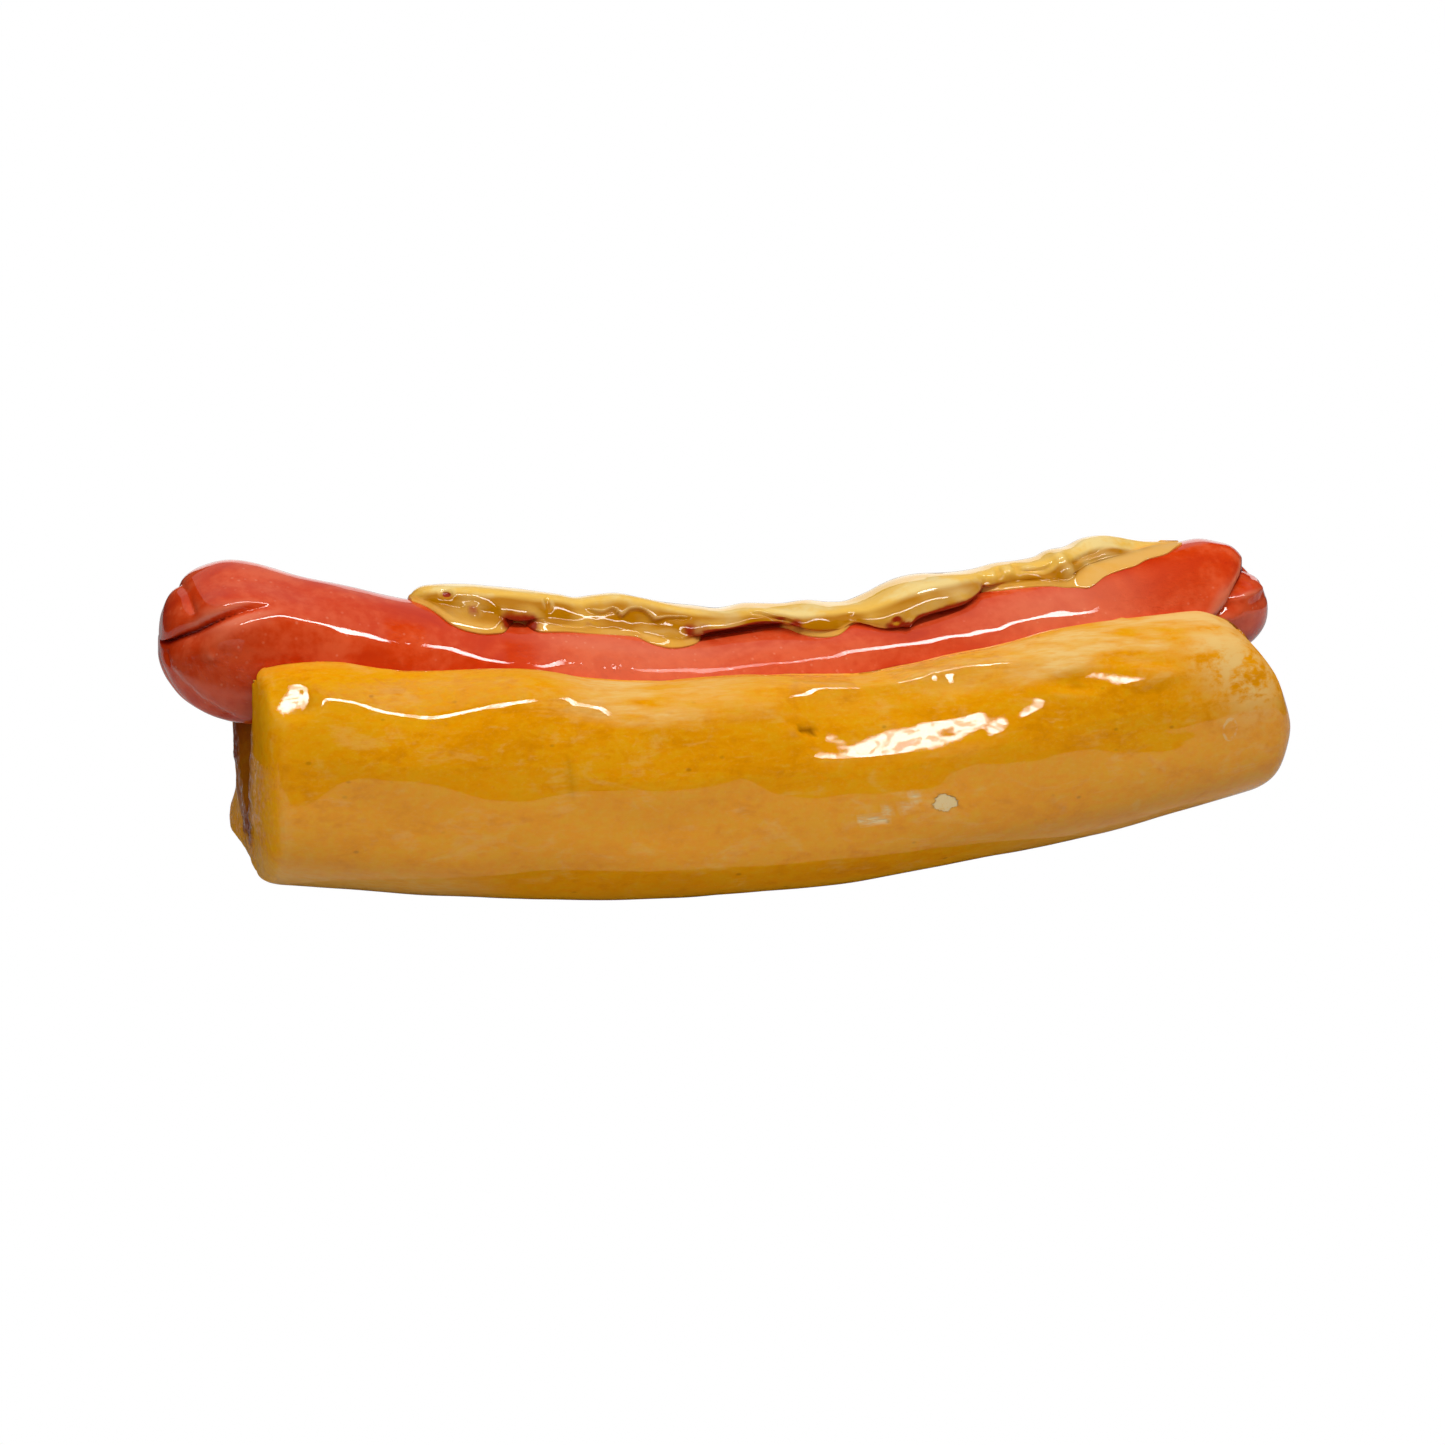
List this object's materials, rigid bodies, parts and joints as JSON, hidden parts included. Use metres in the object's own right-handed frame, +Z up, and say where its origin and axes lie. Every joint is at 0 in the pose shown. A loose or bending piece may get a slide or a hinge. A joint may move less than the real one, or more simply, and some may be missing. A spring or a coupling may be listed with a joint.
{
  "type": "glazed ceramic hot dog sculpture",
  "caption": "Hand-built glazed ceramic hot dog: a folded bun cradling a sausage with cross-cut ends and a torn strip of mustard along the top.",
  "frame": {"origin": "on the surface it stands on, under the middle of its bounding box", "axes": "+X along the bun towards the sausage's narrower end, -Y its front, +Z up"},
  "size_m": [0.2785, 0.0765, 0.0813],
  "materials": {
    "bun_glaze": "glossy amber glaze, brushed",
    "sausage_glaze": "glossy red-orange glaze, mottled",
    "mustard_glaze": "glossy ochre yellow glaze"
  },
  "bodies": {
    "root": {"bun": "bun_glaze", "sausage": "sausage_glaze", "mustard": "mustard_glaze"}
  },
  "joints": []
}
